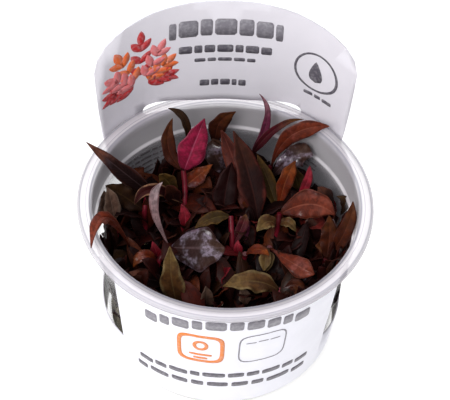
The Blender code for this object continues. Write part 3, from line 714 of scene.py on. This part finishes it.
def stem_path(name, root, nodes):
    start = Vector((*root, GEL_LINE))
    first = Vector(nodes[0])
    path = [(start, 0.9), (start.lerp(first, 0.5), 1.0)]
    if name in SPINDLE_SHOOTS:
        path += [(start.lerp(first, 0.72), 1.0), (start.lerp(first, 0.84), 3.0)]
    path += [(node, 1.35) for node in nodes]
    return path


def build_stems(settings):
    material = stem_material()
    for name, root, nodes, _leaves in SHOOTS:
        mesh = tube_mesh(name, [stem_path(name, root, nodes)], settings.stem_radius)
        finish_piece(f"shoot_{name}", mesh, [material], [f"stem_{name}"])


def wall_radius(height):
    return WALL_FOOT + WALL_TAPER * (height - 6.0)


def random_leaf(draw, bed, share):
    """A small leaf's parts, kept inside the wall and under the bed's top.

    Share says how far round the bed it grows, so that no side of the cup is left bare.
    """
    spread = draw.uniform(bed.inner ** 2, 1.0) ** 0.5
    first, last = bed.around
    angle = math.radians(first + (last - first) * share + draw.uniform(-3.0, 3.0))
    height = draw.uniform(*bed.feet)
    reach = spread * (wall_radius(height) - bed.gap)
    base = Vector((reach * math.cos(angle), reach * math.sin(angle), height))
    heading = draw.uniform(0.0, math.tau)
    rise = math.radians(draw.uniform(*bed.rises))
    length = min(draw.uniform(*bed.lengths), (bed.top - height) / math.sin(rise))
    way = Vector((
        math.cos(rise) * math.cos(heading), math.cos(rise) * math.sin(heading),
        math.sin(rise)))
    tip = base + way * length
    middle = base + way * length * 0.5 + Vector((0, 0, length * draw.uniform(0.05, 0.16)))
    for place in (middle, tip):
        limit = wall_radius(place.z) - bed.gap
        flat = math.hypot(place.x, place.y)
        if flat > limit:
            place.x *= limit / flat
            place.y *= limit / flat
    facing = angle if bed.inner > 0.0 else heading
    leaf = Leaf(
        "", 0, middle, tip, length * draw.uniform(0.3, 0.5), draw.uniform(0.36, 0.52),
        math.degrees(facing) + 180, draw.uniform(20.0, 70.0), draw.uniform(14.0, 30.0),
        draw.uniform(0.05, 0.25))
    return leaf, base


def build_undergrowth(settings):
    """Low leaves that fill the cup, small leaves above and along the wall, and thin stems."""
    draw = random.Random(settings.seed)
    material = low_leaf_material()
    counts = (
        settings.low_leaves, settings.middle_leaves, settings.wall_leaves, settings.rim_leaves)
    for bed, count in zip(BEDS, counts):
        shape = bmesh.new()
        for number in range(count):
            leaf, base = random_leaf(draw, bed, (number + 0.5) / count)
            # Each leaf's tone is painted shade, darker in the lower beds.
            tone = bed.tones[0] + (bed.tones[1] - bed.tones[0]) * draw.random() ** 1.4
            add_blade(shape, leaf, base, 6, 2, draw.uniform(0.0, 6.0), tone)
        piece = finish_piece(
            bed.name, mesh_from(bed.name, shape), [material], bed.replaced)
        thicken(piece, settings.leaf_thickness)

    paths = []
    for _number in range(settings.low_stems):
        spread = math.sqrt(draw.random()) * 34.0
        angle = draw.uniform(0.0, math.tau)
        foot = Vector((spread * math.cos(angle), spread * math.sin(angle), GEL_LINE))
        lean = Vector((draw.uniform(-3.0, 3.0), draw.uniform(-3.0, 3.0), 0.0))
        top = foot + lean + Vector((0.0, 0.0, draw.uniform(16.0, 27.0)))
        paths.append([(foot, 1.0), (foot.lerp(top, 0.5) + lean * 0.3, 1.0), (top, 0.7)])
    mesh = tube_mesh("low_stems", paths, settings.stem_radius * 0.9)
    finish_piece("low_stems", mesh, [stem_material()])


def build_cup(settings):
    shape = bmesh.new()
    line = [shape.verts.new((radius * MM, 0.0, height * MM)) for radius, height in CUP_SECTION]
    edges = [shape.edges.new(pair) for pair in zip(line, line[1:])]
    bmesh.ops.spin(
        shape, geom=line + edges, cent=(0, 0, 0), axis=(0, 0, 1), angle=math.tau,
        steps=settings.steps, use_merge=True)
    bmesh.ops.remove_doubles(shape, verts=shape.verts, dist=0.000002)
    bmesh.ops.recalc_face_normals(shape, faces=shape.faces)
    mesh = mesh_from("moulded_cup", shape)
    finish_piece(
        "moulded_cup", mesh, [plastic_material(settings.plastic)], ["cup"])


def build_card(settings):
    """The card, from the frame's own shape, with its inner face told from its outer one."""
    shape = bmesh.new()
    shape.from_mesh(CARD_MESH)
    bmesh.ops.remove_doubles(shape, verts=shape.verts, dist=0.000005)
    for face in shape.faces:
        centre = face.calc_center_median()
        inward = face.normal.x * centre.x + face.normal.y * centre.y < 0.0
        face.material_index = 1 if inward else 0
    mesh = mesh_from("printed_card", shape)
    mesh.set_sharp_from_angle(angle=math.radians(40.0))
    materials = [
        card_material("coated outer card", settings.outer),
        card_material("inner card", settings.inner),
    ]
    finish_piece("printed_card", mesh, materials, ["card_sleeve"])


def first_card_point(start, direction):
    """The point just proud of the frame's card where a line in millimetres first meets it."""
    place, normal, _face, _reach = CARD_TREE.ray_cast(Vector(start) * MM, Vector(direction))
    if place is None:
        raise RuntimeError(f"a printed mark misses the card at {start}")
    return place / MM + normal * INK_LIFT


def on_tab(x, z):
    """The point on the tab's front face at a place across and a height."""
    return first_card_point((x, 0.0, z), (0.0, 1.0, 0.0))


def on_front(x, z):
    """The point on the front panel's outer face; x runs along the curve from the middle."""
    turn = x / CARD_RADIUS
    way = Vector((math.sin(turn), -math.cos(turn), 0.0))
    return first_card_point(way * CARD_RADIUS * 2 + Vector((0.0, 0.0, z)), -way)


def on_back_wall(x, z):
    """The point on the back's inner face below the rim; x runs along the curve."""
    turn = x / CARD_RADIUS
    return first_card_point((0.0, 0.0, z), (math.sin(turn), math.cos(turn), 0.0))


def mark(shape, surface, centre, length, width, turn=0.0, form="bar"):
    """One printed mark on a surface: a bar with round ends, a leaf or a drop."""
    made = bmesh.ops.create_grid(shape, x_segments=10, y_segments=2, size=0.5)["verts"]
    cosine = math.cos(math.radians(turn))
    sine = math.sin(math.radians(turn))
    for point in made:
        share = point.co.x * 2
        if form == "bar":
            breadth = 0.72 + 0.28 * math.sqrt(max(1.0 - share ** 8, 0.0))
        elif form == "drop":
            breadth = math.sqrt(max(1.0 - share * share, 0.0)) * (0.62 - 0.38 * share) + 0.02
        else:
            breadth = max(math.cos(share * math.pi / 2), 0.0) ** 0.8 + 0.02
        along = point.co.x * length
        over = point.co.y * width * breadth
        spot = surface(
            centre[0] + along * cosine - over * sine, centre[1] + along * sine + over * cosine)
        point.co = spot * MM


def ring(shape, surface, centre, width, height, stroke, corner=0.5):
    """A printed outline: a ring whose corners are as round as the corner value says."""
    made = bmesh.ops.create_grid(shape, x_segments=48, y_segments=1, size=0.5)["verts"]
    power = 0.5 / max(corner, 0.05)
    for point in made:
        turn = (point.co.x + 0.5) * math.tau
        cosine, sine = math.cos(turn), math.sin(turn)
        bulge = (abs(cosine) ** (2 * power) + abs(sine) ** (2 * power)) ** (-0.5 / power)
        inset = stroke if point.co.y > 0 else 0.0
        x = centre[0] + (width / 2 - inset) * bulge * cosine
        z = centre[1] + (height / 2 - inset) * bulge * sine
        point.co = surface(x, z) * MM
    bmesh.ops.remove_doubles(shape, verts=made, dist=0.00001)


def bar_row(shape, surface, start, end, height, curve, widths, gap):
    """A row of bars of the given widths between two places, on a line that bows by curve."""
    total = sum(widths) + gap * (len(widths) - 1)
    scale = (end[0] - start[0]) / total
    at = start[0]
    for width in widths:
        middle = at + width * scale / 2
        share = (middle - start[0]) / (end[0] - start[0])
        level = start[1] + (end[1] - start[1]) * share + curve * 4 * share * (1 - share)
        mark(shape, surface, (middle, level), width * scale, height)
        at += (width + gap) * scale


def ink_piece(name, shape, material, thickness=0.00003):
    bmesh.ops.recalc_face_normals(shape, faces=shape.faces)
    piece = finish_piece(name, mesh_from(name, shape), [material])
    thicken(piece, thickness)


def build_printing(settings):
    """Generic marks: bars for lines of print, a leaf spray, a drop in a ring and two signs."""
    dark = ink_material("dark ink", settings.ink)
    grey = ink_material("grey ink", linear((120, 116, 124)))
    pale = ink_material("pale ink", linear((160, 148, 152)))
    orange = ink_material("orange ink", linear((226, 122, 30)))

    shape = bmesh.new()
    bar_row(shape, on_tab, (-19, 96), (20, 96), 7.0, 1.2, (3, 8, 5, 9, 6, 7, 3), 0.9)
    ink_piece("print_title", shape, grey)

    shape = bmesh.new()
    bar_row(shape, on_tab, (-15.5, 87.5), (16.5, 87.5), 3.2, 0.4, (5, 3, 4, 6, 3, 5, 4), 0.8)
    bar_row(shape, on_tab, (-10, 83), (11, 83), 1.5, 0.2, (4, 3, 5, 4, 3), 0.8)
    bar_row(shape, on_tab, (-8, 73), (8, 73), 2.6, 0.2, (4, 3, 4, 2, 3), 0.8)
    ink_piece("print_name", shape, dark)

    # Each row is a colour, the stems that carry it as angle and reach, and its thickness.
    sprays = (
        ("print_leaves_red", (186, 34, 38), ((20, 11.0), (90, 22.0), (158, 11.0)), 0.00003),
        ("print_leaves_orange", (226, 104, 46), ((45, 14.0), (114, 19.0)), 0.00005),
        ("print_leaves_pink", (224, 116, 118), ((67, 18.0), (136, 14.0)), 0.00007),
    )
    for name, colour, stems, thickness in sprays:
        shape = bmesh.new()
        for angle, reach in stems:
            way = Vector((math.cos(math.radians(angle)), math.sin(math.radians(angle))))
            for share in (0.28, 0.52, 0.76):
                spot = SPRAY_FOOT + way * reach * share
                for lean in (-38.0, 38.0):
                    turn = angle + lean
                    out = Vector((math.cos(math.radians(turn)), math.sin(math.radians(turn))))
                    mark(shape, on_tab, spot + out * 2.6, 6.0, 2.7, turn, "leaf")
            mark(shape, on_tab, SPRAY_FOOT + way * reach, 6.5, 2.7, angle, "leaf")
        ink_piece(name, shape, ink_material(name.replace("_", " "), linear(colour)), thickness)

    shape = bmesh.new()
    ring(shape, on_tab, (31.5, 83.5), 14.5, 16.5, 0.8)
    mark(shape, on_tab, (31.5, 83.5), 9.0, 6.0, 90.0, "drop")
    bar_row(shape, on_tab, (28, 73.5), (37, 73), 1.4, 0.0, (3, 2, 3), 0.6)
    ink_piece("print_drop", shape, dark)

    shape = bmesh.new()
    bar_row(
        shape, on_front, (-29, 50), (29, 51), 5.2, 5.0, (4, 3, 5, 3, 6, 4, 5, 4, 3, 5), 0.9)
    ink_piece("print_heading", shape, grey)

    shape = bmesh.new()
    ring(shape, on_front, (-9, 40), 16.5, 17.0, 1.5, 0.2)
    ring(shape, on_front, (-9, 42), 5.5, 6.0, 1.3)
    for level, length in ((36.3, 8.0), (34.2, 5.0)):
        mark(shape, on_front, (-9, level), length, 1.2)
    ink_piece("print_badge", shape, orange)

    shape = bmesh.new()
    ring(shape, on_front, (12.5, 40), 17.0, 17.0, 0.5, 0.2)
    bar_row(shape, on_front, (6.5, 43.5), (18.5, 43.5), 0.5, 0.5, (3, 3, 3), 0.6)
    ink_piece("print_tank", shape, grey)

    shape = bmesh.new()
    bar_row(
        shape, on_front, (-33.5, 20.5), (33.5, 20.5), 2.6, 3.0,
        (5, 4, 6, 3, 7, 5, 4, 6, 4, 5), 0.9)
    bar_row(
        shape, on_front, (-35, 15), (33, 15), 2.6, 2.5, (3, 5, 4, 3, 5, 4, 3, 6, 4), 0.9)
    ink_piece("print_lines", shape, dark)

    shape = bmesh.new()
    for row in range(7):
        level = 49.0 - 1.9 * row
        bar_row(shape, on_back_wall, (-37, level), (-19, level), 0.7, 0.0, (3, 2, 4, 2, 3), 0.6)
        if row < 3:
            bar_row(shape, on_back_wall, (25, level), (37, level), 0.7, 0.0, (2, 4, 2, 3), 0.6)
    ink_piece("print_back_lines", shape, pale)


def build_stage(settings):
    """A pale floor, soft lights and the camera at the photograph's angle."""
    shape = bmesh.new()
    bmesh.ops.create_grid(shape, x_segments=2, y_segments=2, size=3.0)
    floor = bpy.data.objects.new("floor", mesh_from("floor", shape))
    material, _tree, shader = principled("pale floor")
    shader.inputs["Base Color"].default_value = (0.5, 0.5, 0.5, 1.0)
    shader.inputs["Roughness"].default_value = 0.9
    shader.inputs["Emission Color"].default_value = (1.0, 1.0, 1.0, 1.0)
    shader.inputs["Emission Strength"].default_value = 0.8
    floor.data.materials.append(material)
    bpy.context.scene.collection.objects.link(floor)

    world = bpy.data.worlds.new("soft daylight")
    world.use_nodes = True
    sky = world.node_tree.nodes["Background"]
    sky.inputs["Color"].default_value = (0.95, 0.96, 1.0, 1.0)
    sky.inputs["Strength"].default_value = 0.5
    bpy.context.scene.world = world

    lights = (
        ("key", (-0.35, -0.5, 0.7), 0.45, 5.0),
        ("side", (-0.94, -0.1, 0.3), 0.3, 1.9),
        ("back", (0.1, 0.55, 0.8), 0.4, 2.4),
    )
    for name, place, size, power in lights:
        lamp = bpy.data.lights.new(name, "AREA")
        lamp.size = size
        lamp.energy = power
        holder = bpy.data.objects.new(name, lamp)
        holder.location = place
        aim = Vector((0, 0, 0.04)) - Vector(place)
        holder.rotation_euler = aim.to_track_quat("-Z", "Y").to_euler()
        bpy.context.scene.collection.objects.link(holder)

    rise, around = settings.elevation, settings.azimuth
    back = Vector((
        math.sin(around) * math.cos(rise), -math.cos(around) * math.cos(rise), math.sin(rise)))
    right = Vector((math.cos(around), math.sin(around), 0.0))
    up = back.cross(right)
    aim = Vector((0, 0, 30.0)) * MM - right * 0.23 * MM + up * 23.02 * MM
    tilted_right = math.cos(settings.roll) * right + math.sin(settings.roll) * up
    tilted_up = math.cos(settings.roll) * up - math.sin(settings.roll) * right
    camera = bpy.data.objects.new("camera", bpy.data.cameras.new("camera"))
    camera.data.sensor_width = 36.0
    camera.data.lens = settings.lens
    camera.data.clip_start = 0.01
    axes = Matrix((tilted_right, tilted_up, back)).transposed().to_4x4()
    camera.matrix_world = Matrix.Translation(aim + back * settings.distance) @ axes
    bpy.context.scene.collection.objects.link(camera)
    bpy.context.scene.camera = camera
    bpy.context.scene.view_settings.view_transform = "Standard"


class PLANTCUP_OT_stage(bpy.types.Operator):
    """Add the floor, the lights and the camera"""
    bl_idname = "plantcup.stage"
    bl_label = "Stage"

    def execute(self, context):
        build_stage(context.scene.plantcup_stage)
        return {"FINISHED"}


class PLANTCUP_OT_cup(bpy.types.Operator):
    """Turn the clear cup and finish the gel in its foot"""
    bl_idname = "plantcup.cup"
    bl_label = "Cup and gel"

    def execute(self, context):
        settings = context.scene.plantcup_cup
        build_cup(settings)
        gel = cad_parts["nutrient_gel"]
        gel.material_slots[0].material = gel_material(settings.gel)
        return {"FINISHED"}


class PLANTCUP_OT_card(bpy.types.Operator):
    """Add the card sleeve with its coated faces"""
    bl_idname = "plantcup.card"
    bl_label = "Card sleeve"

    def execute(self, context):
        build_card(context.scene.plantcup_card)
        return {"FINISHED"}


class PLANTCUP_OT_printing(bpy.types.Operator):
    """Print the generic marks on the card"""
    bl_idname = "plantcup.printing"
    bl_label = "Printing"

    def execute(self, context):
        build_printing(context.scene.plantcup_card)
        return {"FINISHED"}


class PLANTCUP_OT_stems(bpy.types.Operator):
    """Grow the taller stems"""
    bl_idname = "plantcup.stems"
    bl_label = "Stems"

    def execute(self, context):
        build_stems(context.scene.plantcup_plant)
        return {"FINISHED"}


class PLANTCUP_OT_leaves(bpy.types.Operator):
    """Grow the leaves of the taller shoots"""
    bl_idname = "plantcup.leaves"
    bl_label = "Leaves"

    def execute(self, context):
        settings = context.scene.plantcup_plant
        for name, _root, nodes, leaves in SHOOTS:
            for number, leaf in enumerate(leaves, start=1):
                build_leaf(f"{name}_{number}", leaf, nodes[leaf.node], number, settings)
        build_loose_leaves(settings)
        return {"FINISHED"}


class PLANTCUP_OT_undergrowth(bpy.types.Operator):
    """Fill the cup with low leaves and stems"""
    bl_idname = "plantcup.undergrowth"
    bl_label = "Undergrowth"

    def execute(self, context):
        build_undergrowth(context.scene.plantcup_plant)
        return {"FINISHED"}


OPERATORS = (
    PLANTCUP_OT_stage, PLANTCUP_OT_cup, PLANTCUP_OT_card, PLANTCUP_OT_printing,
    PLANTCUP_OT_stems, PLANTCUP_OT_leaves, PLANTCUP_OT_undergrowth,
)
SETTINGS = (
    ("plantcup_plant", PlantSettings), ("plantcup_cup", CupSettings),
    ("plantcup_card", CardSettings), ("plantcup_stage", StageSettings),
)


class PLANTCUP_PT_panel(bpy.types.Panel):
    """The cup's pieces in the sidebar"""
    bl_label = "Plant cup"
    bl_idname = "PLANTCUP_PT_panel"
    bl_space_type = "VIEW_3D"
    bl_region_type = "UI"
    bl_category = "Plant cup"

    def draw(self, context):
        for operator in OPERATORS:
            self.layout.operator(operator.bl_idname)
        for name, kind in SETTINGS:
            box = self.layout.box()
            for label in kind.__annotations__:
                box.prop(getattr(context.scene, name), label)


def register():
    for name, kind in SETTINGS:
        bpy.utils.register_class(kind)
        setattr(bpy.types.Scene, name, bpy.props.PointerProperty(type=kind))
    for kind in (*OPERATORS, PLANTCUP_PT_panel):
        bpy.utils.register_class(kind)


def unregister():
    for kind in reversed((*OPERATORS, PLANTCUP_PT_panel)):
        bpy.utils.unregister_class(kind)
    for name, kind in reversed(SETTINGS):
        delattr(bpy.types.Scene, name)
        bpy.utils.unregister_class(kind)


def main():
    register()
    bpy.ops.plantcup.stage()
    bpy.ops.plantcup.cup()
    bpy.ops.plantcup.card()
    bpy.ops.plantcup.printing()
    bpy.ops.plantcup.stems()
    bpy.ops.plantcup.leaves()
    bpy.ops.plantcup.undergrowth()


if __name__ == "__main__":
    main()
